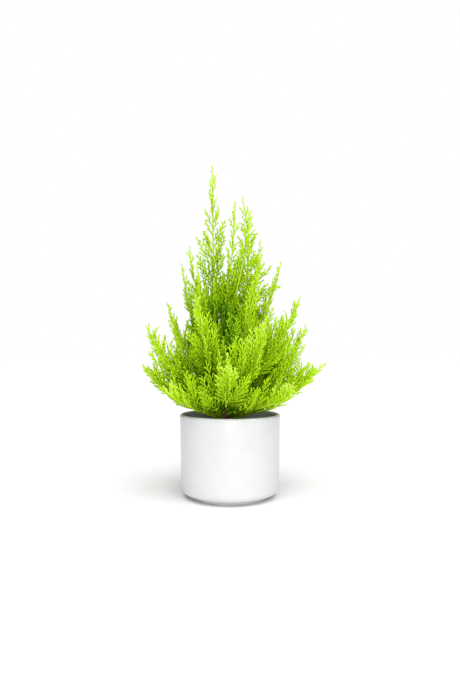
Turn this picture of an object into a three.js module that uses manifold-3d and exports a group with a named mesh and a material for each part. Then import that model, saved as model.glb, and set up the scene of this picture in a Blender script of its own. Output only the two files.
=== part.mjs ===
/**
 * A lemon cypress growing in a white ceramic pot.
 *
 * Millimetres, +Z up. The origin is the centre of the circle that the pot's foot stands on. +X is to
 * the right and -Y is the front. The plant is one trunk and its boughs: leaders that stand up at the
 * top, and tiers of branches that leave the trunk all round. Each bough is a woody stem and the body
 * of scale-leaved foliage that grows on its outer part.
 */
import * as THREE from 'three';
import { mergeVertices } from 'three/addons/utils/BufferGeometryUtils.js';
import Module from 'manifold-3d';

const wasm = await Module();
wasm.setup();

// Driving dimensions

/** Clearance between two solids that are neighbours. */
const GAP = 0.35;

/** Vertices closer together than this are one vertex. */
const WELD = 1e-4;

/** The pot is a straight-sided cup that narrows a little downwards and stands on a set-back foot. */
const POT = {
  height: 98,
  rimRadius: 60.2,
  baseRadius: 58.6,
  wall: 5.5,
  innerFloor: 12,
  innerCorner: 9,
  outerCorner: 7,
  footRadius: 46,
  footHeight: 5,
  footEdge: 1,
  footRing: 7,
  footRecess: 1.5,
  sides: 56,
  arcSteps: 4,
};

/** The potting mix fills the pot to a finger's width below the rim and rises a little at the trunk. */
const MIX = { edgeHeight: 83, crownHeight: 88, crownRadius: 12 };

/** The trunk stands in the mix and leans to the left as it rises. */
const TRUNK = {
  bottom: 50,
  top: 236,
  footX: -3,
  topX: -18,
  footRadius: 5,
  topRadius: 1.6,
  sides: 8,
  steps: 6,
};

/** Every bough's stem and foliage, as shares of its length and in millimetres. */
const STEM = { end: 0.8, baseRadius: 1.5, tipRadius: 0.6, sides: 6, steps: 6 };
const FOLIAGE = { start: 0.18, sides: 9, steps: 7, blunt: 0.7 };

/** How far out towards a branch's tip its stem turns upwards. */
const ELBOW = 0.66;

/**
 * Leaders, chosen one by one: the height at which each leaves the trunk, the point that it bends
 * towards, its tip, and the radius of its foliage.
 */
const LEADERS = [
  { from: 236, via: [-21, 0, 300], tip: [-21.7, 0, 400], radius: 13 },
  { from: 206, via: [4, -12, 258], tip: [6, -9, 355], radius: 11 },
  { from: 186, via: [40, 12, 262], tip: [14.5, 9, 364], radius: 11 },
  { from: 194, via: [16, -22, 252], tip: [24, -22, 334], radius: 11 },
  { from: 172, via: [28, -2, 226], tip: [37, -2, 309], radius: 12 },
  { from: 198, via: [-44, -4, 236], tip: [-49, -6, 300], radius: 11 },
  { from: 200, via: [-20, 28, 248], tip: [-12, 28, 330], radius: 12 },
];

/**
 * Tiers of branches. Each is turned evenly about the pot's axis from its first bearing, in degrees,
 * and its branches alternate between two reaches and two tip heights. A branch's rise at its elbow is
 * a share of its whole rise.
 */
const TIERS = [
  {
    name: 'upper_branch', count: 5, firstBearing: 15, from: [150, 162],
    reach: [66, 60], tipHeight: [286, 272], elbowRise: 0.2, radius: 16,
  },
  {
    name: 'middle_branch', count: 8, firstBearing: 20, from: [118, 134],
    reach: [103, 89], tipHeight: [203, 236], elbowRise: 0.2, radius: 19,
  },
  {
    name: 'low_branch', count: 8, firstBearing: 0, from: [104, 98],
    reach: [105, 97], tipHeight: [153, 129], elbowRise: 0.26, radius: 16,
  },
];

// Materials

const GLAZE = { color: 0xf1f1f2, roughness: 0.22, metalness: 0 };
const POTTING_MIX = { color: 0x38281c, roughness: 0.95, metalness: 0 };
const BARK = { color: 0x5b3a28, roughness: 0.85, metalness: 0 };
const GREEN_WOOD = { color: 0x9aa83c, roughness: 0.7, metalness: 0 };
const LIME_FOLIAGE = { color: 0x94c41a, roughness: 0.6, metalness: 0 };

// Solids

/** A point of a lathed outline: its distance from the axis and its height. */
const at = (radius, height) => new THREE.Vector2(radius, height);

/** Points of an arc about a centre between two angles in degrees, ends included. */
function arc(centreRadius, centreHeight, radius, fromAngle, toAngle) {
  const points = [];
  for (let step = 0; step <= POT.arcSteps; step++) {
    const share = step / POT.arcSteps;
    const angle = THREE.MathUtils.degToRad(THREE.MathUtils.lerp(fromAngle, toAngle, share));
    points.push(at(centreRadius + radius * Math.cos(angle), centreHeight + radius * Math.sin(angle)));
  }
  return points;
}

/** Turns an outline about the vertical axis. */
function lathe(outline, sides) {
  return new THREE.LatheGeometry(outline, sides).rotateX(Math.PI / 2);
}

/**
 * Turns an outline about a curve, so that a height of 0 to 1 in the outline runs along a span of it.
 * The curve must not run along the reference axis.
 */
function latheAlong(curve, span, outline, sides) {
  const solid = new THREE.LatheGeometry(outline, sides);
  const position = solid.attributes.position;
  const reference = new THREE.Vector3(0, 1, 0);
  const vertex = new THREE.Vector3();
  for (let index = 0; index < position.count; index++) {
    vertex.fromBufferAttribute(position, index);
    const t = THREE.MathUtils.lerp(span[0], span[1], vertex.y);
    const along = curve.getTangent(t);
    const across = new THREE.Vector3().crossVectors(reference, along).normalize();
    const third = new THREE.Vector3().crossVectors(across, along);
    const place = curve.getPoint(t).addScaledVector(across, vertex.x).addScaledVector(third, vertex.z);
    position.setXYZ(index, place.x, place.y, place.z);
  }
  return solid;
}

/** Makes a manifold solid of a closed geometry: its vertices merged and its flat triangles dropped. */
function toSolid(geometry) {
  const bare = geometry.clone();
  bare.deleteAttribute('normal');
  bare.deleteAttribute('uv');
  const merged = mergeVertices(bare, WELD);
  const corners = [...merged.index.array];
  const triangles = [];
  for (let i = 0; i < corners.length; i += 3) {
    const [a, b, c] = corners.slice(i, i + 3);
    if (a !== b && b !== c && c !== a) triangles.push(a, b, c);
  }
  const vertProperties = new Float32Array(merged.attributes.position.array);
  const triVerts = new Uint32Array(triangles);
  return new wasm.Manifold(new wasm.Mesh({ numProp: 3, vertProperties, triVerts }));
}

/** Makes a geometry of the largest body of a manifold solid. */
function toGeometry(solid) {
  const bodies = solid.decompose().sort((a, b) => b.volume() - a.volume());
  const mesh = bodies[0].getMesh();
  const geometry = new THREE.BufferGeometry();
  geometry.setAttribute('position', new THREE.BufferAttribute(mesh.vertProperties, 3));
  geometry.setIndex(new THREE.BufferAttribute(mesh.triVerts, 1));
  return geometry;
}

const plant = new THREE.Group();

/** Adds a sub-part to the model. */
function addPart(name, geometry, finish) {
  const mesh = new THREE.Mesh(geometry, new THREE.MeshStandardMaterial(finish));
  mesh.name = name;
  plant.add(mesh);
}

// Pot and potting mix

/** The inner wall's radius at a height: the outer taper less the wall. */
function innerRadiusAt(height) {
  const rise = height / POT.height;
  return THREE.MathUtils.lerp(POT.baseRadius, POT.rimRadius, rise) - POT.wall;
}

/** The ceramic pot: foot ring, rounded bottom corner, tapered wall, round lip and hollow inside. */
function ceramicPot() {
  const lip = POT.wall / 2;
  const cornerHeight = POT.footHeight + POT.outerCorner;
  const ringInner = POT.footRadius - POT.footRing;
  const innerCornerHeight = POT.innerFloor + POT.innerCorner;
  return lathe([
    at(0, POT.footRecess),
    at(ringInner, POT.footRecess),
    at(ringInner + POT.footRecess, 0),
    at(POT.footRadius - POT.footEdge, 0),
    at(POT.footRadius, POT.footEdge),
    at(POT.footRadius, POT.footHeight),
    ...arc(POT.baseRadius - POT.outerCorner, cornerHeight, POT.outerCorner, -90, 0),
    ...arc(POT.rimRadius - lip, POT.height - lip, lip, 0, 180),
    ...arc(innerRadiusAt(innerCornerHeight) - POT.innerCorner, innerCornerHeight, POT.innerCorner, 0, -90),
    at(0, POT.innerFloor),
  ], POT.sides);
}

/** The potting mix: it follows the pot's inside and is cut clear of the trunk that stands in it. */
function pottingMix(trunkSolid) {
  const cornerHeight = POT.innerFloor + POT.innerCorner;
  const cornerRadius = POT.innerCorner - GAP;
  const body = lathe([
    at(0, POT.innerFloor + GAP),
    ...arc(innerRadiusAt(cornerHeight) - POT.innerCorner, cornerHeight, cornerRadius, -90, 0),
    at(innerRadiusAt(MIX.edgeHeight) - GAP, MIX.edgeHeight),
    at(MIX.crownRadius, MIX.crownHeight),
    at(0, MIX.crownHeight),
  ], POT.sides);
  return toGeometry(toSolid(body).subtract(trunkSolid));
}

// Trunk

/** How far up the trunk a height is, from 0 to 1. */
function trunkShare(height) {
  return (height - TRUNK.bottom) / (TRUNK.top - TRUNK.bottom);
}

/** The trunk's centre at a height. */
function trunkCentre(height) {
  const x = THREE.MathUtils.lerp(TRUNK.footX, TRUNK.topX, trunkShare(height));
  return new THREE.Vector3(x, 0, height);
}

/** The trunk's radius at a height. */
function trunkRadius(height) {
  return THREE.MathUtils.lerp(TRUNK.footRadius, TRUNK.topRadius, trunkShare(height));
}

/** The trunk, grown outwards by a margin where it cuts its neighbours. */
function trunkGeometry(margin) {
  const bottom = trunkCentre(TRUNK.bottom - margin);
  const top = trunkCentre(TRUNK.top + margin);
  const outline = [at(0, 0)];
  for (let step = 0; step <= TRUNK.steps; step++) {
    const share = step / TRUNK.steps;
    const radius = THREE.MathUtils.lerp(TRUNK.footRadius, TRUNK.topRadius, share);
    outline.push(at(radius + margin, share));
  }
  outline.push(at(0, 1));
  return latheAlong(new THREE.LineCurve3(bottom, top), [0, 1], outline, TRUNK.sides);
}

// Boughs

/** A bough's curve, from the trunk's surface towards its tip. The topmost one goes on from the trunk. */
function boughCurve(from, via, tip) {
  const centre = trunkCentre(from);
  const outward = new THREE.Vector3(via.x - centre.x, via.y - centre.y, 0).normalize();
  const start = from === TRUNK.top
    ? centre.clone().setZ(TRUNK.top + GAP)
    : centre.clone().addScaledVector(outward, trunkRadius(from) + STEM.baseRadius);
  return new THREE.QuadraticBezierCurve3(start, via, tip);
}

/** The leaders, each with its name, curve and foliage radius. */
function leaderBoughs() {
  return LEADERS.map(({ from, via, tip, radius }, index) => ({
    name: `leader_${index + 1}`,
    curve: boughCurve(from, new THREE.Vector3(...via), new THREE.Vector3(...tip)),
    radius,
  }));
}

/** The branches of a tier, each with its name, curve and foliage radius. */
function tierBoughs(tier) {
  return Array.from({ length: tier.count }, (_, index) => {
    const choice = index % 2;
    const bearing = THREE.MathUtils.degToRad(tier.firstBearing + (360 * index) / tier.count);
    const from = tier.from[choice];
    const tip = new THREE.Vector3(Math.cos(bearing), Math.sin(bearing), 0)
      .multiplyScalar(tier.reach[choice])
      .setZ(tier.tipHeight[choice]);
    const via = trunkCentre(from).lerp(tip, ELBOW);
    via.z = THREE.MathUtils.lerp(from, tip.z, tier.elbowRise);
    return { name: `${tier.name}_${index + 1}`, curve: boughCurve(from, via, tip), radius: tier.radius };
  });
}

/** A bough's woody stem, grown outwards by a margin where it cuts its neighbours. */
function stemGeometry(bough, margin) {
  const outline = [at(0, 0)];
  for (let step = 0; step <= STEM.steps; step++) {
    const share = step / STEM.steps;
    outline.push(at(THREE.MathUtils.lerp(STEM.baseRadius, STEM.tipRadius, share) + margin, share));
  }
  outline.push(at(0, 1));
  const spare = margin / bough.curve.getLength();
  return latheAlong(bough.curve, [0, STEM.end + spare], outline, STEM.sides);
}

/** The outer form of a bough's foliage, a plume that is blunt at its base and pointed at its tip. */
function foliageForm(bough, margin) {
  const outline = [at(0, 0)];
  for (let step = 1; step < FOLIAGE.steps; step++) {
    const share = step / FOLIAGE.steps;
    outline.push(at(bough.radius * Math.sin(Math.PI * share ** FOLIAGE.blunt) + margin, share));
  }
  outline.push(at(0, 1));
  return latheAlong(bough.curve, [FOLIAGE.start, 1], outline, FOLIAGE.sides);
}

/** The space that foliage stays out of, over the pot's mouth: a disc that reaches just past the rim. */
function mouthSpace() {
  const radius = POT.rimRadius + GAP;
  const height = POT.height + GAP;
  return new THREE.CylinderGeometry(radius, radius, height, POT.sides / 2)
    .rotateX(Math.PI / 2)
    .translate(0, 0, height / 2);
}

const boughs = [...leaderBoughs(), ...TIERS.flatMap(tierBoughs)];
const trunkCutter = toSolid(trunkGeometry(GAP));
const wood = boughs.map((bough) => toSolid(stemGeometry(bough, GAP)));
let taken = wasm.Manifold.union([trunkCutter, toSolid(mouthSpace()), ...wood]);

addPart('ceramic_pot', ceramicPot(), GLAZE);
addPart('potting_mix', pottingMix(trunkCutter), POTTING_MIX);
addPart('trunk', trunkGeometry(0), BARK);
for (const bough of boughs) {
  const foliage = toSolid(foliageForm(bough, 0)).subtract(taken);
  addPart(`${bough.name}_stem`, stemGeometry(bough, 0), GREEN_WOOD);
  addPart(`${bough.name}_foliage`, toGeometry(foliage), LIME_FOLIAGE);
  taken = taken.add(toSolid(foliageForm(bough, GAP)));
}

export default plant;
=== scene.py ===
"""A lemon cypress in a white ceramic pot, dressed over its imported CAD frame.

The frame gives the pot's and the potting mix's boxes, the trunk's line and the curve of each bough. The
pot and the mix are turned from their outlines, the wood is swept along the CAD lines, and the foliage
grows on each bough by one rule, order by order: bough, spray, twig and scale-leaved shoot.
"""

import logging
import math
from dataclasses import dataclass
from enum import Enum

import bpy
import numpy as np
from bpy.types import Camera, Light, Material, Mesh, Node, NodeSocket, NodeTree, Object
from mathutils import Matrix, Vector


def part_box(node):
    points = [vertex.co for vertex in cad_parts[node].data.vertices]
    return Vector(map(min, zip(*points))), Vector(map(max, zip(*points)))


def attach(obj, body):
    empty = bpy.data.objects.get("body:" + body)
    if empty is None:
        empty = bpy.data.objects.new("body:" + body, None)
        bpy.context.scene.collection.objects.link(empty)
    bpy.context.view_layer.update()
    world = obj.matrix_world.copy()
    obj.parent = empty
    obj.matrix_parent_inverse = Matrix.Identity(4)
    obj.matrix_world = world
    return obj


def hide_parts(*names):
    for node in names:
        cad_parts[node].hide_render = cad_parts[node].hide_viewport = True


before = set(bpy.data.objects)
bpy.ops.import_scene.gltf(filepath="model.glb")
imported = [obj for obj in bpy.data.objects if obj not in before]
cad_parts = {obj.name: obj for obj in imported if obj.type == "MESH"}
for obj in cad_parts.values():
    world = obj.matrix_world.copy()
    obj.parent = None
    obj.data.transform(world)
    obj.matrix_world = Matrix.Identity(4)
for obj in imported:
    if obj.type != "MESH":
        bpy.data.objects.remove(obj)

MM = 0.001
UP = np.array([0.0, 0.0, 1.0])
ACROSS = np.array([1.0, 0.0, 0.0])
GOLDEN_ANGLE = math.radians(137.5)
BODY = "root"
SEED = 2417

# A colour ramp's stops in order, each with its position and its sRGB hex colour.
Stops = tuple[tuple[float, str], ...]

# A Mix node's two colour inputs and its colour output. Its numbers and vectors share their names.
COLOUR_A, COLOUR_B, MIXED = 6, 7, 2

log = logging.getLogger("lemon_cypress")


# ---- Shared helpers ----


def linear(hex_colour: str) -> tuple[float, float, float, float]:
    """Turns an sRGB hex colour to linear RGBA.

    Args:
        hex_colour: six hex digits with a leading #.

    Returns:
        The linear colour with an alpha of 1.
    """
    parts = [int(hex_colour[i : i + 2], 16) / 255 for i in (1, 3, 5)]
    red, green, blue = (c / 12.92 if c <= 0.04045 else ((c + 0.055) / 1.055) ** 2.4 for c in parts)
    return red, green, blue, 1.0


def add_node(tree: NodeTree, kind: str, inputs: dict | None = None, stops: Stops = (), **settings) -> Node:
    """Adds a node with its settings, input values and links.

    Args:
        tree: the tree that gets the node.
        kind: the node's type name.
        inputs: socket name or index to a value, or to the socket that feeds it.
        stops: a colour ramp's stops.
        **settings: the node's own properties.

    Returns:
        The new node.
    """
    node = tree.nodes.new(kind)
    for name, value in settings.items():
        setattr(node, name, value)
    for key, value in (inputs or {}).items():
        if isinstance(value, NodeSocket):
            tree.links.new(value, node.inputs[key])
        else:
            node.inputs[key].default_value = value
    for index, (position, colour) in enumerate(stops):
        elements = node.color_ramp.elements
        element = elements[index] if index < len(elements) else elements.new(position)
        element.position = position
        element.color = linear(colour)
    return node


def new_tree(name: str, kinds: dict[str, str]) -> tuple[NodeTree, bpy.types.NodeOutputs]:
    """Starts a Geometry Nodes tree that takes geometry, some named inputs and a material.

    Args:
        name: the tree's name.
        kinds: each named input's kind, such as Float.

    Returns:
        The tree, and the sockets that give its inputs.
    """
    tree = bpy.data.node_groups.new(name, "GeometryNodeTree")
    for key, kind in {"Geometry": "Geometry", **kinds, "Material": "Material"}.items():
        tree.interface.new_socket(key, in_out="INPUT", socket_type=f"NodeSocket{kind}")
    tree.interface.new_socket("Geometry", in_out="OUTPUT", socket_type="NodeSocketGeometry")
    return tree, add_node(tree, "NodeGroupInput").outputs


def sweep_lines(tree: NodeTree, lines: NodeSocket, sides: NodeSocket) -> NodeSocket:
    """Adds the nodes that sweep a closed round along lines, as thick as their `thickness` says.

    Args:
        tree: the tree.
        lines: the socket that gives the lines, as a mesh of edges.
        sides: the socket that gives the number of the round's sides.

    Returns:
        The socket that gives the rounds.
    """
    curve = add_node(tree, "GeometryNodeMeshToCurve", {"Mesh": lines})
    radius = add_node(tree, "GeometryNodeInputNamedAttribute", {"Name": "thickness"}, data_type="FLOAT")
    profile = add_node(tree, "GeometryNodeCurvePrimitiveCircle", {"Resolution": sides, "Radius": 1.0})
    swept = {"Curve": curve.outputs[0], "Profile Curve": profile.outputs[0], "Scale": radius.outputs[0]}
    return add_node(tree, "GeometryNodeCurveToMesh", {**swept, "Fill Caps": True}).outputs[0]


def end_tree(tree: NodeTree, geometry: tuple[NodeSocket, ...], material: NodeSocket, smooth: bool) -> None:
    """Ends a Geometry Nodes tree: joins its geometry, makes instances real and sets the material.

    Args:
        tree: the tree.
        geometry: the sockets that give its geometry.
        material: the socket that gives its material.
        smooth: whether its faces are shaded smooth.
    """
    joined = add_node(tree, "GeometryNodeJoinGeometry")
    for socket in geometry:
        tree.links.new(socket, joined.inputs["Geometry"])
    real = add_node(tree, "GeometryNodeRealizeInstances", {"Geometry": joined.outputs[0]})
    shading = {"Geometry": real.outputs[0], "Shade Smooth": smooth}
    shaded = add_node(tree, "GeometryNodeSetShadeSmooth", shading)
    dress = {"Geometry": shaded.outputs[0], "Material": material}
    dressed = add_node(tree, "GeometryNodeSetMaterial", dress)
    add_node(tree, "NodeGroupOutput", {"Geometry": dressed.outputs[0]})


def apply_nodes(piece: Object, tree: NodeTree, inputs: dict) -> None:
    """Runs a Geometry Nodes tree on a piece and keeps the result as the piece's plain mesh.

    Args:
        piece: the object whose mesh goes in.
        tree: the tree.
        inputs: the tree's input names and their values.
    """
    modifier = piece.modifiers.new(tree.name, "NODES")
    modifier.node_group = tree
    sockets = {item.name: item.identifier for item in tree.interface.items_tree if item.in_out == "INPUT"}
    for name, value in inputs.items():
        modifier[sockets[name]] = value
    bpy.context.view_layer.update()
    depsgraph = bpy.context.evaluated_depsgraph_get()
    evaluated = piece.evaluated_get(depsgraph)
    result = bpy.data.meshes.new_from_object(evaluated, preserve_all_data_layers=True, depsgraph=depsgraph)
    source = piece.data
    piece.modifiers.remove(modifier)
    piece.data = result
    bpy.data.meshes.remove(source)
    result.name = piece.name


def new_mesh(name: str, vertices: np.ndarray, faces: list, edges: np.ndarray | None = None) -> Object:
    """Makes a mesh object at the origin and links it to the scene.

    Args:
        name: the object's name.
        vertices: one row per vertex, in metres.
        faces: vertex indices of each face.
        edges: vertex indices of each loose edge.

    Returns:
        The object.
    """
    mesh = bpy.data.meshes.new(name)
    mesh.from_pydata(vertices.tolist(), [] if edges is None else edges.tolist(), faces)
    mesh.update()
    piece = bpy.data.objects.new(name, mesh)
    bpy.context.scene.collection.objects.link(piece)
    return piece


def set_attributes(mesh: Mesh, values: dict[str, np.ndarray]) -> None:
    """Stores numbers or vectors on the points of a mesh.

    Args:
        mesh: the mesh.
        values: attribute names, each with one number or one row of three per point.
    """
    for key, numbers in values.items():
        kind, member = ("FLOAT", "value") if numbers.ndim == 1 else ("FLOAT_VECTOR", "vector")
        attribute = mesh.attributes.new(key, kind, "POINT")
        attribute.data.foreach_set(member, numbers.astype(np.float32).ravel())


def keep(piece: Object, slot: str, *nodes: str) -> None:
    """Makes a finished piece part of the object.

    Args:
        piece: the finished piece.
        slot: the record's material slot; not used.
        *nodes: the CAD nodes that it stands for.
    """
    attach(piece, BODY)
    if nodes:
        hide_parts(*nodes)
    log.info("%s: %d faces, stands for %s", piece.name, len(piece.data.polygons), nodes or "no node")


def unit(vectors: np.ndarray) -> np.ndarray:
    """Gives rows of vectors a length of 1, and leaves a row of zeros alone."""
    smallest = 1e-12
    return vectors / np.maximum(np.linalg.norm(vectors, axis=-1, keepdims=True), smallest)


def across(vectors: np.ndarray, directions: np.ndarray) -> np.ndarray:
    """The part of each vector that is square to its direction, with a length of 1."""
    along = np.sum(vectors * directions, axis=-1, keepdims=True)
    return unit(vectors - along * directions)


# ---- Finishes ----


@dataclass(frozen=True)
class Finish:
    """A real finish: each kind says which patterns and values feed the shader."""

    name: str

    def paint(self, tree: NodeTree, place: NodeSocket) -> dict:
        """Adds the finish's patterns.

        Args:
            tree: the material's tree.
            place: the place on the object, in metres.

        Returns:
            The shader's inputs.
        """
        raise NotImplementedError

    def build(self) -> Material:
        """Builds the material.

        Returns:
            The material.
        """
        material = bpy.data.materials.new(self.name)
        material.use_nodes = True
        tree = material.node_tree
        tree.nodes.clear()
        place = add_node(tree, "ShaderNodeTexCoord").outputs["Object"]
        shader = add_node(tree, "ShaderNodeBsdfPrincipled", self.paint(tree, place))
        add_node(tree, "ShaderNodeOutputMaterial", {"Surface": shader.outputs["BSDF"]})
        return material


@dataclass(frozen=True)
class WhiteGlaze(Finish):
    """White glaze fired on stoneware: it gives a bright, even body with a soft, broad sheen.

    The glaze is wiped off the foot, where the bare fired clay shows matte and a little warm. The stops
    of `mottle` are pooled and plain glaze.
    """

    name: str = "white_glazed_stoneware"
    mottle: Stops = ((0.35, "#cdced0"), (0.6, "#d0d0d1"))
    mottle_size: float = 22 * MM
    bare_clay: str = "#d8d0c4"
    clay_roughness: float = 0.8
    roughness: float = 0.24
    ior: float = 1.52
    ripple_size: float = 9 * MM
    ripple_depth: float = 0.05 * MM
    glaze_line: float = 1.2 * MM
    glaze_fade: float = 0.3 * MM

    def paint(self, tree: NodeTree, place: NodeSocket) -> dict:
        """Adds a faint mottle and ripple, and the line above which the glaze lies.

        Args:
            tree: the material's tree.
            place: the place on the object, in metres.

        Returns:
            The shader's inputs.
        """
        mottle = add_node(tree, "ShaderNodeTexNoise", {"Vector": place, "Scale": 1 / self.mottle_size})
        glaze = add_node(tree, "ShaderNodeValToRGB", {"Fac": mottle.outputs["Fac"]}, self.mottle)
        height = add_node(tree, "ShaderNodeSeparateXYZ", {"Vector": place}).outputs["Z"]
        fade = {"Value": height, "From Min": self.glaze_line - self.glaze_fade, "From Max": self.glaze_line}
        glazed = add_node(tree, "ShaderNodeMapRange", fade).outputs["Result"]
        coats = {"Factor": glazed, COLOUR_A: linear(self.bare_clay), COLOUR_B: glaze.outputs["Color"]}
        polish = {"Value": glazed, "To Min": self.clay_roughness, "To Max": self.roughness}
        ripple = add_node(tree, "ShaderNodeTexNoise", {"Vector": place, "Scale": 1 / self.ripple_size})
        relief = {"Height": ripple.outputs["Fac"], "Distance": self.ripple_depth, "Strength": 1.0}
        return {
            "Base Color": add_node(tree, "ShaderNodeMix", coats, data_type="RGBA").outputs[MIXED],
            "Normal": add_node(tree, "ShaderNodeBump", relief).outputs["Normal"],
            "Roughness": add_node(tree, "ShaderNodeMapRange", polish).outputs["Result"],
            "IOR": self.ior,
        }


@dataclass(frozen=True)
class LimeFoliage(Finish):
    """Living scale leaves: waxy, lime to yellow-green at the tips, deep green where they are older, and
    darker deep in the crown where shade is painted.

    The mesh carries three attributes: `tone`, from 0 in the oldest growth to 1 in the newest and lowered
    by painted shade deep inside the crown, `along`, from 0 at a shoot's base to 1 at its tip, and `tint`, a
    random number for each twig. The ramp's stops are old, grown and young leaves and tips, and its darker
    stops also give the painted shade.
    """

    name: str = "lime_scale_foliage"
    # Leaf colours by age; the darker ones also paint the shade deep inside the crown.
    ages: Stops = ((0.05, "#4c840e"), (0.32, "#98c20c"), (0.62, "#b8e012"), (1.0, "#def07c"))
    variety: float = 0.45
    variety_middle: float = 0.5
    tip_youth: float = 0.22
    clump_size: float = 26 * MM
    scale_leaf: float = 1.1 * MM
    scale_leaf_depth: float = 0.12 * MM
    relief: float = 0.6
    roughness: float = 0.6
    sheen_level: float = 0.15
    ior: float = 1.45

    def paint(self, tree: NodeTree, place: NodeSocket) -> dict:
        """Adds the leaves' colours by age and painted crown shade, by clump and by twig, and the relief of
        their scales.

        Args:
            tree: the material's tree.
            place: the place on the object, in metres.

        Returns:
            The shader's inputs.
        """
        # The tone attribute holds the leaves' age and the crown's painted shade.
        age_and_shade, along, tint = (
            add_node(tree, "ShaderNodeAttribute", attribute_name=name).outputs["Fac"]
            for name in ("tone", "along", "tint")
        )
        clump = add_node(tree, "ShaderNodeTexNoise", {"Vector": place, "Scale": 1 / self.clump_size})
        mixed = {0: clump.outputs["Fac"], 1: tint, 2: -self.variety_middle}
        change = add_node(tree, "ShaderNodeMath", mixed, operation="MULTIPLY_ADD").outputs[0]
        for whole, share in ((change, self.variety), (along, self.tip_youth)):
            added = {0: whole, 1: share, 2: age_and_shade}
            age_and_shade = add_node(tree, "ShaderNodeMath", added, operation="MULTIPLY_ADD").outputs[0]
        leaf = add_node(tree, "ShaderNodeTexVoronoi", {"Vector": place, "Scale": 1 / self.scale_leaf})
        height = leaf.outputs["Distance"]
        relief = {"Height": height, "Distance": self.scale_leaf_depth, "Strength": self.relief}
        return {
            "Base Color": add_node(tree, "ShaderNodeValToRGB", {"Fac": age_and_shade}, self.ages).outputs["Color"],
            "Normal": add_node(tree, "ShaderNodeBump", relief).outputs["Normal"],
            "Roughness": self.roughness,
            "IOR": self.ior,
            "Specular IOR Level": self.sheen_level,
        }


@dataclass(frozen=True)
class Bark(Finish):
    """Thin fibrous bark: reddish brown with paler ridges, turning green where the wood is young.

    The mesh carries `along`, from 0 at the base of the wood to 1 at its end. The stops of `fibres` are
    furrow and ridge.
    """

    name: str = "brown_cypress_bark"
    fibres: Stops = ((0.38, "#3a2418"), (0.62, "#7b5037"))
    fibre_size: float = 1.6 * MM
    fibre_squash: tuple[float, float, float] = (1.0, 1.0, 0.18)
    fibre_detail: float = 4.0
    fibre_depth: float = 0.35 * MM
    relief: float = 0.8
    young: str = "#a3a24a"
    young_from: float = 0.62
    young_to: float = 1.1
    roughness: float = 0.82

    def paint(self, tree: NodeTree, place: NodeSocket) -> dict:
        """Adds upright fibres, and the green of young wood.

        Args:
            tree: the material's tree.
            place: the place on the object, in metres.

        Returns:
            The shader's inputs.
        """
        upright = add_node(tree, "ShaderNodeMapping", {"Vector": place, "Scale": self.fibre_squash})
        grain = {"Vector": upright.outputs["Vector"], "Scale": 1 / self.fibre_size}
        fibre = add_node(tree, "ShaderNodeTexNoise", {**grain, "Detail": self.fibre_detail}).outputs["Fac"]
        bark = add_node(tree, "ShaderNodeValToRGB", {"Fac": fibre}, self.fibres)
        along = add_node(tree, "ShaderNodeAttribute", attribute_name="along").outputs["Fac"]
        stretch = {"Value": along, "From Min": self.young_from, "From Max": self.young_to}
        youth = add_node(tree, "ShaderNodeMapRange", stretch).outputs["Result"]
        skins = {"Factor": youth, COLOUR_A: bark.outputs["Color"], COLOUR_B: linear(self.young)}
        relief = {"Height": fibre, "Distance": self.fibre_depth, "Strength": self.relief}
        return {
            "Base Color": add_node(tree, "ShaderNodeMix", skins, data_type="RGBA").outputs[MIXED],
            "Normal": add_node(tree, "ShaderNodeBump", relief).outputs["Normal"],
            "Roughness": self.roughness,
        }


@dataclass(frozen=True)
class PeatMix(Finish):
    """Moist peat and bark potting mix: near black-brown, matte and crumbly, with paler bark bits.

    The stops of `bits` are peat, crumb and bark.
    """

    name: str = "moist_peat_mix"
    bits: Stops = ((0.38, "#1f150e"), (0.55, "#3d2a1c"), (0.72, "#6b4a30"))
    crumb_size: float = 3 * MM
    crumb_detail: float = 6.0
    crumb_depth: float = 0.8 * MM
    relief: float = 0.9
    roughness: float = 0.95

    def paint(self, tree: NodeTree, place: NodeSocket) -> dict:
        """Adds the crumbs' colours and relief.

        Args:
            tree: the material's tree.
            place: the place on the object, in metres.

        Returns:
            The shader's inputs.
        """
        crumbs = {"Vector": place, "Scale": 1 / self.crumb_size, "Detail": self.crumb_detail}
        grain = add_node(tree, "ShaderNodeTexNoise", crumbs).outputs["Fac"]
        relief = {"Height": grain, "Distance": self.crumb_depth, "Strength": self.relief}
        return {
            "Base Color": add_node(tree, "ShaderNodeValToRGB", {"Fac": grain}, self.bits).outputs["Color"],
            "Normal": add_node(tree, "ShaderNodeBump", relief).outputs["Normal"],
            "Roughness": self.roughness,
        }


@dataclass(frozen=True)
class StudioPaper(Finish):
    """Seamless white studio paper: an even pale ground with no sheen.

    Its fibres are drawn coarser than real ones, which are too fine to show.
    """

    name: str = "white_studio_paper"
    fibres: Stops = ((0.0, "#eeeeee"), (1.0, "#f1f1f1"))
    fibre_size: float = 4 * MM
    roughness: float = 0.9
    sheen_level: float = 0.1

    def paint(self, tree: NodeTree, place: NodeSocket) -> dict:
        """Adds the paper's fibres.

        Args:
            tree: the material's tree.
            place: the place on the object, in metres.

        Returns:
            The shader's inputs.
        """
        fibre = add_node(tree, "ShaderNodeTexNoise", {"Vector": place, "Scale": 1 / self.fibre_size})
        colour = add_node(tree, "ShaderNodeValToRGB", {"Fac": fibre.outputs["Fac"]}, self.fibres)
        return {
            "Base Color": colour.outputs["Color"],
            "Roughness": self.roughness,
            "Specular IOR Level": self.sheen_level,
        }


# ---- Turned pieces: the pot and the potting mix ----


def arc(centre: tuple[float, float], radius: float, start: float, end: float, steps: int) -> list:
    """Points of an arc in an outline.

    Args:
        centre: distance from the axis and height of the arc's centre.
        radius: the arc's radius.
        start: first angle in degrees.
        end: last angle in degrees.
        steps: number of steps between them.

    Returns:
        The points, ends included.
    """
    angles = np.radians(np.linspace(start, end, steps + 1))
    return [(centre[0] + radius * math.cos(a), centre[1] + radius * math.sin(a)) for a in angles]


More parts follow.
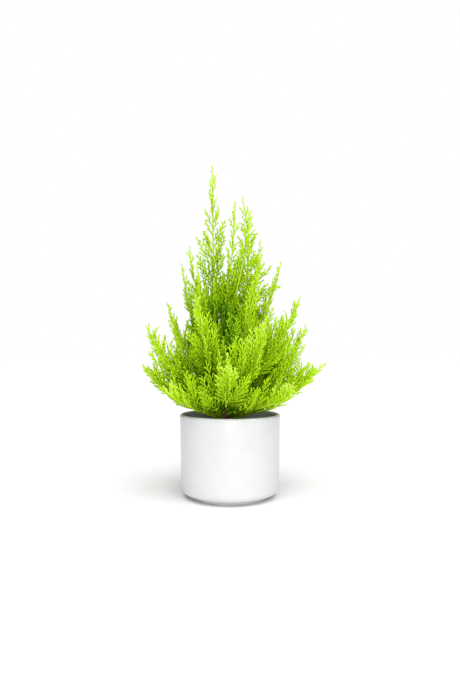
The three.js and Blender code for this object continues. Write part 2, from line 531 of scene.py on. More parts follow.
def turn_outline(outline: list[tuple[float, float]], segments: int) -> tuple[np.ndarray, list]:
    """Turns an outline about the vertical axis into a closed surface.

    Args:
        outline: distance from the axis and height of each point. Its first and last points are on the axis.
        segments: number of steps round the axis.

    Returns:
        The vertices, pole first and last, and the faces.
    """
    rings = np.array(outline[1:-1])
    angles = np.linspace(0, 2 * np.pi, segments, endpoint=False)
    circle = np.stack([np.cos(angles), np.sin(angles)], axis=1)
    heights = np.broadcast_to(rings[:, None, 1:], (len(rings), segments, 1))
    walls = np.concatenate([rings[:, None, :1] * circle[None], heights], axis=2)
    vertices = np.vstack([[0, 0, outline[0][1]], walls.reshape(-1, 3), [0, 0, outline[-1][1]]])
    last = len(vertices) - 1
    faces = []
    for step in range(segments):
        here, there = 1 + step, 1 + (step + 1) % segments
        faces.append((0, there, here))
        for ring in range(len(rings) - 1):
            low = ring * segments
            faces.append((here + low, there + low, there + low + segments, here + low + segments))
        low = (len(rings) - 1) * segments
        faces.append((last, here + low, there + low))
    return vertices, faces


@dataclass
class CeramicPot:
    """The pot: a straight wall that narrows a little downwards, a round lip and a set-back foot."""

    wall: float = 5.5 * MM
    taper: float = 1.6 * MM
    inner_floor: float = 12 * MM
    inner_corner: float = 9 * MM
    outer_corner: float = 7 * MM
    foot_radius: float = 46 * MM
    foot_height: float = 5 * MM
    foot_ring: float = 7 * MM
    foot_recess: float = 1.5 * MM
    foot_edge: float = 1.0 * MM
    segments: int = 160
    wall_steps: int = 8
    lip_steps: int = 14
    outer_steps: int = 10
    inner_steps: int = 8
    foot_steps: int = 4
    finish: Finish = WhiteGlaze()

    def outline(self) -> list[tuple[float, float]]:
        """The pot's outline.

        Returns:
            Its points, from the middle of the underside round to the middle of the inner floor.
        """
        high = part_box("ceramic_pot")[1]
        rim, height = high.x, high.z
        base = rim - self.taper
        lip = self.wall / 2
        corner = self.foot_height + self.outer_corner
        inner_corner = self.inner_floor + self.inner_corner
        inner = base + self.taper * inner_corner / height - self.wall
        shares = np.linspace(0, 1, self.wall_steps + 1)[1:-1]
        outer_wall = [
            (base + (rim - base) * share, corner + (height - lip - corner) * share) for share in shares
        ]
        inner_wall = [
            (inner + (rim - self.wall - inner) * share, inner_corner + (height - lip - inner_corner) * share)
            for share in shares[::-1]
        ]
        foot, edge, recess = self.foot_radius, self.foot_edge, self.foot_recess
        ring = foot - self.foot_ring
        return [
            (0, recess),
            (ring - recess, recess),
            (ring, recess),
            *arc((ring + recess, recess), recess, 180, 270, self.foot_steps),
            *arc((foot - edge, edge), edge, -90, 0, self.foot_steps),
            (foot, self.foot_height - edge),
            (foot, self.foot_height),
            *arc((base - self.outer_corner, corner), self.outer_corner, -90, 0, self.outer_steps),
            *outer_wall,
            *arc((rim - lip, height - lip), lip, 0, 180, self.lip_steps),
            *inner_wall,
            *arc((inner - self.inner_corner, inner_corner), self.inner_corner, 0, -90, self.inner_steps),
            (0, self.inner_floor),
        ]

    def build(self) -> None:
        """Builds and dresses the pot."""
        pot = new_mesh("ceramic_pot_glazed", *turn_outline(self.outline(), self.segments))
        pot.data.shade_smooth()
        pot.data.materials.append(self.finish.build())
        keep(pot, "glazed_ceramic", "ceramic_pot")


@dataclass
class PottingMix:
    """The potting mix: a turned body with an uneven top, and loose crumbs scattered on it.

    Each of the top's waves has a share and two sines, each with its steps along x and y and its phase.
    """

    unevenness: float = 1.4 * MM
    lump: float = 9 * MM
    waves: tuple = ((1.0, (2.1, 1.3, 0), (-0.6, 1.7, 1)), (0.5, (5.3, 0, 0), (0, 4.7, 2)))
    sunk: float = 0.6
    edge_drop: float = 5 * MM
    corner: float = 8 * MM
    corner_inset: float = 1.2 * MM
    corner_steps: int = 5
    segments: int = 96
    rings: int = 26
    crumb_density: float = 260_000.0
    crumb_size: float = 1.5 * MM
    smallest_crumb: float = 0.25
    crumb_dent: float = 0.3
    crumb_turn: float = 6.28
    steepest: float = 0.4
    finish: Finish = PeatMix()

    def body(self) -> Object:
        """The mix's body, with its top roughened by lumps.

        Returns:
            The body.
        """
        low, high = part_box("potting_mix")
        radius, edge = high.x, high.z - self.edge_drop
        middle = (radius - self.corner - self.corner_inset, low.z + self.corner)
        top = [
            (radius * share, edge + self.edge_drop * math.sqrt(1 - share))
            for share in np.linspace(1, 0, self.rings)[:-1]
        ]
        side = arc(middle, self.corner, -90, 0, self.corner_steps)
        vertices, faces = turn_outline([(0, low.z), *side, *top, (0, high.z)], self.segments)
        micrometre = MM / 1000
        on_top = vertices[:, 2] > edge - micrometre
        x, y = vertices[on_top, 0] / self.lump, vertices[on_top, 1] / self.lump
        rise = sum(
            share * np.prod([np.sin(a * x + b * y + phase) for a, b, phase in pair], axis=0)
            for share, *pair in self.waves
        )
        fade = np.clip((radius - np.hypot(vertices[on_top, 0], vertices[on_top, 1])) / self.lump, 0, 1)
        vertices[on_top, 2] += self.unevenness * (rise - self.sunk) * fade
        return new_mesh("potting_mix_crumbled", vertices, faces)

    def crumb(self) -> Object:
        """One crumb: a lumpy ball of twenty faces.

        Returns:
            The crumb.
        """
        bpy.ops.mesh.primitive_ico_sphere_add(subdivisions=1, radius=1.0)
        crumb = bpy.context.object
        rng = np.random.default_rng(SEED)
        for vertex in crumb.data.vertices:
            vertex.co *= 1 + rng.uniform(-self.crumb_dent, self.crumb_dent)
        return crumb

    def scatter_tree(self) -> NodeTree:
        """A tree that scatters crumbs over the upward faces of a body.

        Returns:
            The tree.
        """
        kinds = {"Crumb": "Object", "Density": "Float", "Size": "Float", "Floor": "Float", "Seed": "Int"}
        tree, source = new_tree("crumb_scatter", kinds)
        seed = {"Seed": source["Seed"]}
        place = add_node(tree, "GeometryNodeInputPosition").outputs[0]
        height = add_node(tree, "ShaderNodeSeparateXYZ", {"Vector": place}).outputs["Z"]
        normal = add_node(tree, "GeometryNodeInputNormal").outputs[0]
        facing = add_node(tree, "ShaderNodeSeparateXYZ", {"Vector": normal}).outputs["Z"]
        upward, high = (
            add_node(tree, "FunctionNodeCompare", {0: value, 1: least}, operation="GREATER_THAN").outputs[0]
            for value, least in ((facing, self.steepest), (height, source["Floor"]))
        )
        both = add_node(tree, "FunctionNodeBooleanMath", {0: upward, 1: high}).outputs[0]
        ground = {"Mesh": source["Geometry"], "Selection": both, "Density": source["Density"], **seed}
        spots = add_node(tree, "GeometryNodeDistributePointsOnFaces", ground).outputs["Points"]
        turns = {0: (0.0, 0.0, 0.0), 1: (self.crumb_turn,) * 3, **seed}
        turn = add_node(tree, "FunctionNodeRandomValue", turns, data_type="FLOAT_VECTOR").outputs[0]
        sizes = {2: self.smallest_crumb, 3: 1.0, **seed}
        size = add_node(tree, "FunctionNodeRandomValue", sizes, data_type="FLOAT").outputs[1]
        scale = add_node(tree, "ShaderNodeMath", {0: size, 1: source["Size"]}, operation="MULTIPLY")
        form = add_node(tree, "GeometryNodeObjectInfo", {"Object": source["Crumb"]}).outputs["Geometry"]
        pose = {"Rotation": turn, "Scale": scale.outputs[0]}
        crumbs = add_node(tree, "GeometryNodeInstanceOnPoints", {"Points": spots, "Instance": form, **pose})
        end_tree(tree, (crumbs.outputs[0], source["Geometry"]), source["Material"], smooth=False)
        return tree

    def build(self) -> None:
        """Builds and dresses the potting mix."""
        mix, crumb = self.body(), self.crumb()
        inputs = {
            "Crumb": crumb,
            "Density": self.crumb_density,
            "Size": self.crumb_size,
            "Floor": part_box("potting_mix")[1].z - self.edge_drop - 3 * self.unevenness,
            "Seed": SEED,
            "Material": self.finish.build(),
        }
        apply_nodes(mix, self.scatter_tree(), inputs)
        bpy.data.objects.remove(crumb)
        keep(mix, "potting_mix", "potting_mix")


# ---- Wood: the trunk and the boughs' stems ----


@dataclass
class Limb:
    """The line of a woody CAD piece: a quadratic curve, recovered from the rings of its tube."""

    name: str
    terms: np.ndarray
    base_radius: float
    end_radius: float
    end: float
    samples: int = 33

    @classmethod
    def from_frame(cls, node: str, end: float = 1.0) -> "Limb":
        """Reads a limb from its CAD node.

        Args:
            node: the CAD node's name.
            end: the share of the curve's whole length that the CAD tube covers.

        Returns:
            The limb.
        """
        ring_gap, weld_digits = 2 * MM, 6
        corners = np.array([v.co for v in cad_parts[node].data.vertices]).round(weld_digits)
        corners = np.unique(corners, axis=0)
        middle = corners.mean(axis=0)
        chord = np.linalg.svd(corners - middle, full_matrices=False)[2][0]
        height = (corners - middle) @ chord
        order = np.argsort(height)
        breaks = np.flatnonzero(np.diff(height[order]) > ring_gap) + 1
        rings = [corners[group] for group in np.split(order, breaks)]
        centres = np.array([ring.mean(axis=0) for ring in rings])
        radii = [np.linalg.norm(ring - centre, axis=1).max() for ring, centre in zip(rings, centres)]
        if radii[0] < radii[-1]:
            centres, radii = centres[::-1], radii[::-1]
        terms = np.polyfit(np.linspace(0, end, len(centres)), centres, 2)
        return cls(node, terms, radii[0], radii[-1], end)

    @classmethod
    def boughs(cls) -> list["Limb"]:
        """Reads every bough from its CAD stem, which ends before its foliage does.

        Returns:
            The boughs, in order of name.
        """
        stem_end = 0.8
        names = sorted(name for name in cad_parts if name.endswith("_stem"))
        return [cls.from_frame(name, stem_end) for name in names]

    def point(self, share: np.ndarray | float) -> np.ndarray:
        """Points of the limb at shares of its length."""
        s = np.asarray(share)[..., None]
        return self.terms[0] * s**2 + self.terms[1] * s + self.terms[2]

    def radius(self, share: np.ndarray) -> np.ndarray:
        """Radii of the limb's wood at shares of it."""
        return self.base_radius + (self.end_radius - self.base_radius) * share

    def length(self) -> float:
        """The limb's whole length, to its foliage's tip, as the sum of short steps."""
        steps = np.diff(self.point(np.linspace(0, 1, self.samples)), axis=0)
        return float(np.linalg.norm(steps, axis=1).sum())


@dataclass(frozen=True)
class Wood:
    """Sweeps a round, slightly knobbly skin along the lines of the trunk and the stems."""

    sides: int
    steps: int
    knobble: float
    knob: float
    knob_detail: float = 3.0

    def sweep_tree(self) -> NodeTree:
        """A tree that turns a line with radii into a closed, knobbly round.

        Returns:
            The tree.
        """
        tree, source = new_tree("woody_sweep", {"Sides": "Int", "Knobble": "Float", "Knob": "Float"})
        skin = sweep_lines(tree, source["Geometry"], source["Sides"])
        scale = add_node(tree, "ShaderNodeMath", {0: 1.0, 1: source["Knob"]}, operation="DIVIDE")
        knobs = {"Scale": scale.outputs[0], "Detail": self.knob_detail}
        noise, even = add_node(tree, "ShaderNodeTexNoise", knobs).outputs[0], 0.5
        push = add_node(tree, "ShaderNodeMath", {0: noise, 1: even}, operation="SUBTRACT").outputs[0]
        deep = add_node(tree, "ShaderNodeMath", {0: push, 1: source["Knobble"]}, operation="MULTIPLY")
        move = {0: add_node(tree, "GeometryNodeInputNormal").outputs[0], "Scale": deep.outputs[0]}
        offset = add_node(tree, "ShaderNodeVectorMath", move, operation="SCALE").outputs[0]
        moved = add_node(tree, "GeometryNodeSetPosition", {"Geometry": skin, "Offset": offset})
        end_tree(tree, (moved.outputs[0],), source["Material"], smooth=True)
        return tree

    def sweep(
        self, name: str, points: np.ndarray, thickness: np.ndarray, tree: NodeTree, material: Material
    ) -> Object:
        """Builds one round of wood.

        Args:
            name: the piece's name.
            points: its line.
            thickness: its radius at each point.
            tree: the sweeping tree.
            material: its material.

        Returns:
            The finished piece.
        """
        row = np.arange(len(points))
        piece = new_mesh(name, points, [], np.stack([row[:-1], row[1:]], axis=1))
        set_attributes(piece.data, {"thickness": thickness, "along": np.linspace(0, 1, len(points))})
        inputs = {"Sides": self.sides, "Knobble": self.knobble, "Knob": self.knob, "Material": material}
        apply_nodes(piece, tree, inputs)
        return piece


@dataclass
class Trunk:
    """The trunk: brown below, greener above, with a flare where it meets the potting mix."""

    wood: Wood = Wood(sides=18, steps=70, knobble=1.5 * MM, knob=3.5 * MM)
    flare: float = 0.28
    flare_height: float = 9 * MM
    finish: Finish = Bark()

    def build(self, limb: Limb) -> None:
        """Builds and dresses the trunk.

        Args:
            limb: its line.
        """
        shares = np.linspace(0, 1, self.wood.steps + 1)
        points = limb.point(shares)
        above = np.abs(points[:, 2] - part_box("potting_mix")[1].z)
        thickness = limb.radius(shares) * (1 + self.flare * np.exp(-above / self.flare_height))
        piece = self.wood.sweep("trunk_bark", points, thickness, self.wood.sweep_tree(), self.finish.build())
        keep(piece, "bark", "trunk")


@dataclass
class Stems:
    """The boughs' woody stems: olive at the trunk and fresh green towards their foliage."""

    wood: Wood = Wood(sides=8, steps=26, knobble=0.5 * MM, knob=3 * MM)
    joint: float = 3 * MM
    finish: Finish = Bark(
        name="green_cypress_wood", fibres=((0.38, "#6c7c18"), (0.62, "#a0b424")), fibre_size=1.2 * MM,
        young="#b4cc28", young_from=0.05, young_to=0.4,
    )

    def build(self, limbs: list[Limb]) -> None:
        """Builds and dresses every stem, each from a little way inside the trunk.

        Args:
            limbs: the boughs' lines.
        """
        tree, material = self.wood.sweep_tree(), self.finish.build()
        for limb in limbs:
            shares = np.linspace(-self.joint / limb.length(), limb.end, self.wood.steps + 1)
            thickness = limb.radius(np.clip(shares / limb.end, 0, 1))
            piece = self.wood.sweep(f"{limb.name}_wood", limb.point(shares), thickness, tree, material)
            keep(piece, "green_wood", limb.name)


# ---- Foliage ----


@dataclass
class Shoots:
    """Many shoots of one order, one row each: where they start, how they head and bend, and how long."""

    start: np.ndarray
    heading: np.ndarray
    plane: np.ndarray
    bend: np.ndarray
    length: np.ndarray
    tone: np.ndarray
    tint: np.ndarray

    @classmethod
    def from_limb(cls, limb: Limb, first: float, tone: float) -> "Shoots":
        """Makes one shoot that follows the outer stretch of a limb to its tip.

        Its own shoots spread level where the limb leans, and across the plant where it is upright.

        Args:
            limb: the limb's line.
            first: the share of the limb's length at which the shoot starts.
            tone: how new its growth is at the start.

        Returns:
            The shoot, as one row.
        """
        upright, middle_tint = 0.3, 0.5
        stretch = 1 - first
        velocity = (2 * limb.terms[0] * first + limb.terms[1]) * stretch
        length = np.linalg.norm(velocity)
        heading = velocity / length
        level = np.cross(UP, limb.point(1.0) - limb.point(0.0))
        broad = unit(level) if np.linalg.norm(level) > upright * limb.length() else ACROSS
        bend = 2 * limb.terms[0] * stretch**2 / length
        row = (limb.point(first), heading, across(broad, heading), bend, length, tone, middle_tint)
        return cls(*(np.asarray(value)[None] for value in row))

    def point(self, rows: np.ndarray, share: np.ndarray) -> np.ndarray:
        """Points of some shoots at shares of their length."""
        path = self.heading[rows] * share[:, None] + self.bend[rows] * share[:, None] ** 2 / 2
        return self.start[rows] + self.length[rows, None] * path

    def direction(self, rows: np.ndarray, share: np.ndarray) -> np.ndarray:
        """Directions of some shoots at shares of their length."""
        return unit(self.heading[rows] + self.bend[rows] * share[:, None])

    def only(self, kept: np.ndarray) -> "Shoots":
        """The shoots that a mask keeps."""
        return Shoots(*(getattr(self, name)[kept] for name in self.__dataclass_fields__))

    def join(self, other: "Shoots") -> "Shoots":
        """These shoots followed by some others."""
        pairs = ((getattr(self, name), getattr(other, name)) for name in self.__dataclass_fields__)
        return Shoots(*(np.concatenate(pair) for pair in pairs))


@dataclass(frozen=True)
class Order:
    """How one order of shoots grows on the order before it, in metres and radians.

    A new shoot's length falls from `longest`, or `share_of_parent` of its parent, at the parent's base
    to `shortest` at its tip. `turn` is the turn about the parent from each shoot to the next, and `sag`
    is how much of a downward lean is left once it has turned to the light. `wander`, `jitter`, `spread`
    and `tint_spread` are the random parts of its turn, of its place, of its angle and length, and of
    its tint.
    """

    spacing: float
    angle: float
    longest: float
    shortest: float
    share_of_parent: float
    first: float = 0.0
    last: float = 0.93
    turn: float = math.pi
    wander: float = 0.4
    taper: float = 1.0
    lift: float = 0.1
    sag: float = 1.0
    ripening: float = 0.4
    jitter: float = 0.3
    spread: float = 0.15
    tint_spread: float = 0.15

    def grow(self, parent: Shoots, rng: np.random.Generator) -> Shoots:
        """Grows this order on its parents.

        Args:
            parent: the shoots that carry the new ones.
            rng: the source of its randomness.

        Returns:
            The new shoots.
        """
        counts = np.round(parent.length * (self.last - self.first) / self.spacing).astype(int)
        rows = np.repeat(np.arange(len(counts)), counts)
        index = np.arange(len(rows)) - np.repeat(np.cumsum(counts) - counts, counts)
        share = (index + 0.5 + rng.uniform(-self.jitter, self.jitter, len(rows))) / counts[rows]
        share = self.first + (self.last - self.first) * share
        along = parent.direction(rows, share)
        side = across(parent.plane[rows], along)
        third = np.cross(along, side)
        bearing = (index * self.turn + rng.normal(0, self.wander, len(rows)))[:, None]
        outward = np.cos(bearing) * side + np.sin(bearing) * third
        outward[:, 2] *= np.where(outward[:, 2] < 0, self.sag, 1.0)
        angle = (self.angle * np.exp(rng.normal(0, self.spread, len(rows))))[:, None]
        heading = unit(np.cos(angle) * along + np.sin(angle) * unit(outward))
        reach = np.minimum(self.longest, self.share_of_parent * parent.length[rows])
        length = self.shortest + np.maximum(reach - self.shortest, 0) * (1 - share) ** self.taper
        length = length * np.exp(rng.normal(0, self.spread, len(rows)))
        bend = self.lift * across(np.broadcast_to(UP, heading.shape), heading)
        tone = parent.tone[rows] + (1 - parent.tone[rows]) * self.ripening * share
        tint = np.clip(parent.tint[rows] + rng.normal(0, self.tint_spread, len(rows)), 0, 1)
        return Shoots(parent.point(rows, share), heading, outward, bend, length, tone, tint)


@dataclass(frozen=True)
class Growth:
    """The three orders that a bough's foliage grows in."""

    sprays: Order
    twigs: Order
    shoots: Order


class Habit(Enum):
    """How a limb grows.

    A leader is thin and two-ranked and a branch is full and feathery. The trunk is close set with
    upright sprays, and a skirt of short level sprays covers its foot.
    """

    LEADER = Growth(
        sprays=Order(
            spacing=4.2 * MM, angle=math.radians(29), longest=70 * MM, shortest=7 * MM, share_of_parent=0.36,
            last=0.9, wander=0.8, taper=1.25, ripening=0.5,
        ),
        twigs=Order(
            spacing=3.8 * MM, angle=math.radians(27), longest=22 * MM, shortest=2.6 * MM,
            share_of_parent=0.36, first=0.2,
        ),
        shoots=Order(
            spacing=4.2 * MM, angle=math.radians(24), longest=4.5 * MM, shortest=2.2 * MM,
            share_of_parent=0.36, first=0.25, wander=0.6, taper=0.6, lift=0.0,
        ),
    )
    BRANCH = Growth(
        sprays=Order(
            spacing=3.1 * MM, angle=math.radians(28), longest=88 * MM, shortest=6 * MM, share_of_parent=0.6,
            turn=math.pi + 0.9, wander=0.5, taper=1.2, lift=0.8, sag=0.3, ripening=0.55,
        ),
        twigs=Order(
            spacing=3.4 * MM, angle=math.radians(26), longest=28 * MM, shortest=3.6 * MM,
            share_of_parent=0.46, first=0.08, wander=0.3, lift=0.2, sag=0.6,
        ),
        shoots=Order(
            spacing=5.5 * MM, angle=math.radians(20), longest=5.5 * MM, shortest=2.6 * MM,
            share_of_parent=0.32, first=0.2, wander=0.6, taper=0.6, lift=0.0,
        ),
    )
    TRUNK = Growth(
        sprays=Order(
            spacing=2.7 * MM, angle=math.radians(35), longest=84 * MM, shortest=46 * MM, share_of_parent=0.5,
            first=0.25, turn=GOLDEN_ANGLE, taper=0.7, lift=0.35, sag=0.35, ripening=0.2,
        ),
        twigs=BRANCH.twigs,
        shoots=BRANCH.shoots,
    )
    SKIRT = Growth(
        sprays=Order(
            spacing=0.35 * MM, angle=math.radians(74), longest=42 * MM, shortest=24 * MM, share_of_parent=0.5,
            first=0.22, last=0.30, turn=GOLDEN_ANGLE, wander=0.3, taper=0.5, lift=0.5, sag=0.8, ripening=1.5,
        ),
        twigs=BRANCH.twigs,
        shoots=BRANCH.shoots,
    )

    @classmethod
    def of(cls, limb: Limb) -> "Habit":
        """The habit of a bough, by its name."""
        return cls.LEADER if limb.name.startswith("leader") else cls.BRANCH


@dataclass(frozen=True)
class Crown:
    """The crown's outline, which tells old foliage, and foliage darkened by painted shade, from new.

    The outline is a list of heights and radii, about a middle that leans from `foot` to `top`, each a
    place across and a height. Foliage's colour is darkened by painted shade up to `shade_to` of the
    radius and fully lit from `lit_from` of it, or at any radius from the height `lit_above`.
    """

    outline: tuple[tuple[float, float], ...] = (
        (90 * MM, 38 * MM), (130 * MM, 88 * MM), (220 * MM, 84 * MM), (300 * MM, 46 * MM),
        (400 * MM, 10 * MM),
    )
    foot: tuple[float, float] = (-3 * MM, 50 * MM)
    top: tuple[float, float] = (-18 * MM, 236 * MM)
    shade_to: float = 0.15
    lit_from: float = 0.75
    shade_below: float = 190 * MM
    lit_above: float = 290 * MM
    shade_tone: float = 0.3

    def light(self, points: np.ndarray) -> np.ndarray:
        """How much of its newness foliage keeps under the crown's painted shade.

        Args:
            points: the foliage's places.

        Returns:
            A number for each, from `shade_tone` deep inside the lower crown up to 1.
        """
        heights, radii = np.array(self.outline).T
        middle = np.interp(points[:, 2], (self.foot[1], self.top[1]), (self.foot[0], self.top[0]))
        share = np.hypot(points[:, 0] - middle, points[:, 1]) / np.interp(points[:, 2], heights, radii)
        # Painted shade: foliage deep inside the lower crown keeps less of its tone.
        outward = (share - self.shade_to) / (self.lit_from - self.shade_to)
        upward = (points[:, 2] - self.shade_below) / (self.lit_above - self.shade_below)
        return self.shade_tone + (1 - self.shade_tone) * np.clip(np.maximum(outward, upward), 0, 1)


@dataclass(frozen=True)
class Cord:
    """How the axes of one order are swept, and how much newer than their growth they look."""

    points: int
    base_radius: float
    tip_radius: float
    youth: float


@dataclass
class Foliage:
    """The foliage of one bough after another, grown by rule and made solid by Geometry Nodes.

    The rings of a shoot of unit length and thickness are heights and radii.
    """

    rings: tuple = ((0.0, 0.62), (0.22, 0.95), (0.45, 0.72), (0.62, 1.0), (0.84, 0.66))
    shoot_radius: float = 0.8 * MM
    spray_cord: Cord = Cord(points=9, base_radius=0.9 * MM, tip_radius=0.6 * MM, youth=0.25)
    twig_cord: Cord = Cord(points=6, base_radius=0.95 * MM, tip_radius=0.6 * MM, youth=0.0)
    sides: int = 4
    bead: float = 0.16
    tip_youth: float = 0.3
    cord_along: float = 0.6
    terminal_from: float = 0.76
    terminal_tone: float = 0.5
    oldest_tone: float = 0.05
    soil_clearance: float = 2.5 * MM
    bowl_foot: float = 36 * MM
    bowl_rise: float = 0.54
    bowl_ragged: float = 10 * MM
    crown: Crown = Crown()
    finish: Finish = LimeFoliage()

    def shoot_form(self) -> Object:
        """One scale-leaved shoot of unit length and thickness: four-sided, beaded and pointed.

        Returns:
            The form.
        """
        corners = ((1, 0), (0, 1), (-1, 0), (0, -1))
        vertices = [(radius * x, radius * y, height) for height, radius in self.rings for x, y in corners]
        pairs = [(corner, (corner + 1) % len(corners)) for corner in range(len(corners))]
        faces = [tuple(range(len(corners)))[::-1]]
        lows = range(0, len(vertices), len(corners))
        for low, high in zip(lows, lows[1:]):
            faces += [(low + a, low + b, high + b, high + a) for a, b in pairs]
        faces += [(lows[-1] + a, lows[-1] + b, len(vertices)) for a, b in pairs]
        vertices = np.array([*vertices, (0, 0, 1)])
        form = new_mesh("scale_shoot", vertices, faces)
        set_attributes(form.data, {"along": vertices[:, 2]})
        return form

    def growth_tree(self) -> NodeTree:
        """A tree that sweeps a skeleton's lines and sets a shoot on each of its free points.

        Returns:
            The tree.
        """
        kinds = {"Shoot": "Object", "Shoot radius": "Float", "Sides": "Int"}
        tree, source = new_tree("cypress_growth", kinds)
        cords = sweep_lines(tree, source["Geometry"], source["Sides"])
        reach, heading = (
            add_node(tree, "GeometryNodeInputNamedAttribute", {"Name": name}, data_type=kind).outputs[0]
            for name, kind in (("reach", "FLOAT"), ("heading", "FLOAT_VECTOR"))
        )
        free = add_node(tree, "FunctionNodeCompare", {0: reach, 1: 0.0}, operation="GREATER_THAN")
        turn = add_node(tree, "FunctionNodeAlignRotationToVector", {"Vector": heading}, axis="Z")
        size = {"X": source["Shoot radius"], "Y": source["Shoot radius"], "Z": reach}
        pose = {
            "Rotation": turn.outputs[0],
            "Scale": add_node(tree, "ShaderNodeCombineXYZ", size).outputs[0],
        }
        form = add_node(tree, "GeometryNodeObjectInfo", {"Object": source["Shoot"]}).outputs["Geometry"]
        spots = {"Points": source["Geometry"], "Selection": free.outputs[0], "Instance": form}
        shoots = add_node(tree, "GeometryNodeInstanceOnPoints", {**spots, **pose})
        end_tree(tree, (shoots.outputs[0], cords), source["Material"], smooth=True)
        return tree

    def above_bowl(self, grown: Shoots, rng: np.random.Generator) -> Shoots:
        """Drops the shoots whose tips hang below a ragged bowl that rises from the pot's mouth.

        Args:
            grown: the shoots.
            rng: the source of the bowl's raggedness.

        Returns:
            The shoots that are left.
        """
        tips = grown.point(np.arange(len(grown.length)), np.ones(len(grown.length)))
        outside = np.maximum(np.hypot(tips[:, 0], tips[:, 1]) - self.bowl_foot, 0)
        ragged = rng.uniform(0, self.bowl_ragged, len(tips))
        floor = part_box("potting_mix")[1].z + self.soil_clearance
        return grown.only(tips[:, 2] > floor + self.bowl_rise * outside + ragged)

    def skeleton(self, name: str, axes: list[tuple[Shoots, Cord]], shoots: Shoots) -> Object:
        """Makes the mesh that the growth tree works on: lines for the axes and free points for the shoots.

        Args:
            name: the piece's name.
            axes: the orders that are swept, each with how.
            shoots: the last order, one free point each.

        Returns:
            The skeleton.
        """
        blocks, edges, total = [], [], 0
        for grown, cord in axes:
            rows = np.repeat(np.arange(len(grown.length)), cord.points)
            share = np.tile(np.linspace(0, 1, cord.points), len(grown.length))
            bead = 1 + self.bead * np.where(np.arange(len(rows)) % 2, 1, -1)
            youth = cord.youth + self.tip_youth * share
            blocks.append({
                "place": grown.point(rows, share),
                "thickness": (cord.base_radius + (cord.tip_radius - cord.base_radius) * share) * bead,
                "tone": grown.tone[rows] + youth * (1 - grown.tone[rows]),
                "tint": grown.tint[rows],
                "along": share * self.cord_along,
                "reach": np.zeros(len(rows)),
                "heading": np.tile(UP, (len(rows), 1)),
            })
            line = total + np.arange(len(rows)).reshape(-1, cord.points)
            edges.append(np.stack([line[:, :-1].ravel(), line[:, 1:].ravel()], axis=1))
            total += len(rows)
        none = np.zeros(len(shoots.length))
        blocks.append({
            "place": shoots.start,
            "thickness": none,
            "tone": shoots.tone,
            "tint": shoots.tint,
            "along": none,
            "reach": shoots.length,
            "heading": shoots.heading,
        })
        values = {key: np.concatenate([block[key] for block in blocks]) for key in blocks[0]}
        points = values.pop("place")
        # Painted shade: the crown darkens the tone, and so the leaf colour, deep inside its lower part.
        values["tone"] = values["tone"] * self.crown.light(points)
        piece = new_mesh(name, points, [], np.concatenate(edges))
        set_attributes(piece.data, values)
        return piece

    def grow_limb(self, name: str, limb: Limb, habit: Habit, seed: int) -> Object:
        """Grows the skeleton of one limb's foliage.

        Args:
            name: the piece's name.
            limb: the limb's line.
            habit: how it carries its sprays.
            seed: its own random seed.

        Returns:
            The skeleton.
        """
        rng = np.random.default_rng(seed)
        growth: Growth = habit.value
        axis = Shoots.from_limb(limb, 0, self.oldest_tone)
        terminal = Shoots.from_limb(limb, self.terminal_from, self.terminal_tone)
        terminal = terminal.only(np.array([habit in (Habit.LEADER, Habit.BRANCH)]))
        sprays = self.above_bowl(growth.sprays.grow(axis, rng), rng)
        twigs = self.above_bowl(growth.twigs.grow(sprays, rng), rng)
        shoots = self.above_bowl(growth.shoots.grow(twigs.join(terminal), rng), rng)
        axes = [(terminal, self.spray_cord), (sprays, self.spray_cord), (twigs, self.twig_cord)]
        return self.skeleton(name, axes, shoots)

    def build(self, boughs: list[Limb], trunk: Limb) -> None:
        """Builds and dresses the foliage of every bough, and the trunk's own sprays and skirt.

        Args:
            boughs: the boughs' lines.
            trunk: the trunk's line.
        """
        form, tree, material = self.shoot_form(), self.growth_tree(), self.finish.build()
        inputs = {"Shoot": form, "Shoot radius": self.shoot_radius, "Sides": self.sides, "Material": material}
        plan = [(limb.name.removesuffix("_stem"), limb, Habit.of(limb)) for limb in boughs]
        plan += [("trunk", trunk, Habit.TRUNK), ("trunk_foot", trunk, Habit.SKIRT)]
        for index, (name, limb, habit) in enumerate(plan):
            piece = self.grow_limb(f"{name}_leaves", limb, habit, SEED + index)
            apply_nodes(piece, tree, inputs)
            keep(piece, "lime_foliage", *([] if limb is trunk else [f"{name}_foliage"]))
        bpy.data.objects.remove(form)


# ---- Studio ----


@dataclass(frozen=True)
class Station:
    """Where a light or the camera stands and what it faces, in metres."""

    place: tuple[float, float, float]
    aim: tuple[float, float, float]

    def stand(self, name: str, data: Light | Camera) -> Object:
        """Stands a light or the camera here.

        Args:
            name: its name.
            data: its settings.

        Returns:
            The object.
        """
        item = bpy.data.objects.new(name, data)
        item.location = self.place
        item.rotation_euler = (Vector(self.aim) - Vector(self.place)).to_track_quat("-Z", "Y").to_euler()
        bpy.context.scene.collection.objects.link(item)
        return item


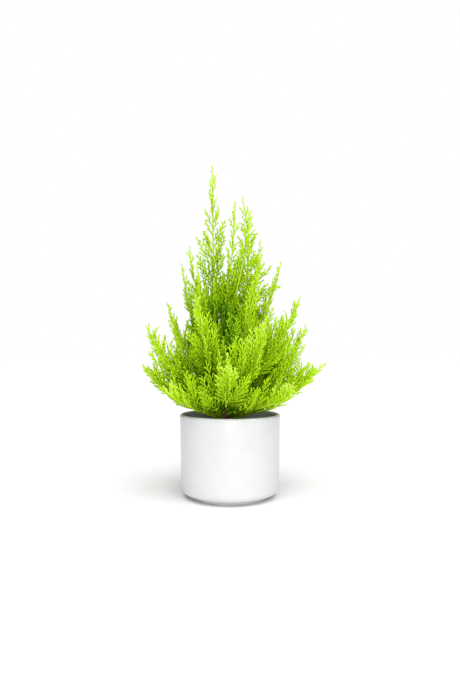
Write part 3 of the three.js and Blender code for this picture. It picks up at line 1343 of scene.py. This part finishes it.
@dataclass
class Studio:
    """A white studio: a paper floor, an even surround, a front box, a broad overhead and the camera."""

    camera: Station = Station((0.0, -0.660, 0.167), (0.0, 0.0, 0.1806))
    lens: float = 28.5
    floor_size: float = 40.0
    paper: Finish = StudioPaper()
    surround: float = 0.13
    overhead: Station = Station((0.08, -0.4, 0.9), (0.0, 0.0, 0.0))
    overhead_strength: float = 4.0
    overhead_spread: float = math.radians(76)
    front: Station = Station((0.1, -1.9, 0.31), (0.0, 0.0, 0.15))
    front_size: float = 0.6
    front_power: float = 12.5

    def build_camera(self) -> None:
        """Stands the camera straight in front, level with the lower crown."""
        data = bpy.data.cameras.new("camera")
        data.lens = self.lens
        bpy.context.scene.camera = self.camera.stand("camera", data)

    def build_floor(self) -> None:
        """Lays the paper floor under the pot's foot."""
        half = self.floor_size / 2
        corners = np.array([(-half, -half, 0), (half, -half, 0), (half, half, 0), (-half, half, 0)])
        floor = new_mesh("paper_floor", corners, [(0, 1, 2, 3)])
        floor.data.materials.append(self.paper.build())

    def build_surround(self) -> None:
        """Lights the scene evenly from all round, and shows pure white behind it."""
        world = bpy.data.worlds.new("white_surround")
        bpy.context.scene.world = world
        world.use_nodes = True
        tree = world.node_tree
        tree.nodes.clear()
        seen = add_node(tree, "ShaderNodeLightPath").outputs["Is Camera Ray"]
        glow = {"Value": seen, "To Min": self.surround, "To Max": 1.0}
        strength = add_node(tree, "ShaderNodeMapRange", glow).outputs["Result"]
        sky = add_node(tree, "ShaderNodeBackground", {"Color": (1, 1, 1, 1), "Strength": strength})
        add_node(tree, "ShaderNodeOutputWorld", {"Surface": sky.outputs[0]})

    def build_lights(self) -> None:
        """Hangs a very broad, even light overhead, and stands a soft box in front."""
        overhead = bpy.data.lights.new("overhead_panel", "SUN")
        overhead.energy, overhead.angle = self.overhead_strength, self.overhead_spread
        self.overhead.stand("overhead_panel", overhead)
        front = bpy.data.lights.new("front_box", "AREA")
        front.energy, front.size = self.front_power, self.front_size
        self.front.stand("front_box", front)

    def build(self) -> None:
        """Builds the whole studio."""
        self.build_camera()
        self.build_surround()
        self.build_floor()
        self.build_lights()
        bpy.context.scene.view_settings.view_transform = "Standard"


# ---- The whole object ----


def main() -> None:
    """Builds the studio and the object, piece by piece."""
    logging.basicConfig(level=logging.INFO, format="%(name)s: %(message)s")
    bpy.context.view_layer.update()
    trunk, boughs = Limb.from_frame("trunk"), Limb.boughs()
    Studio().build()
    CeramicPot().build()
    PottingMix().build()
    Trunk().build(trunk)
    Stems().build(boughs)
    Foliage().build(boughs, trunk)


if __name__ == "__main__":
    main()
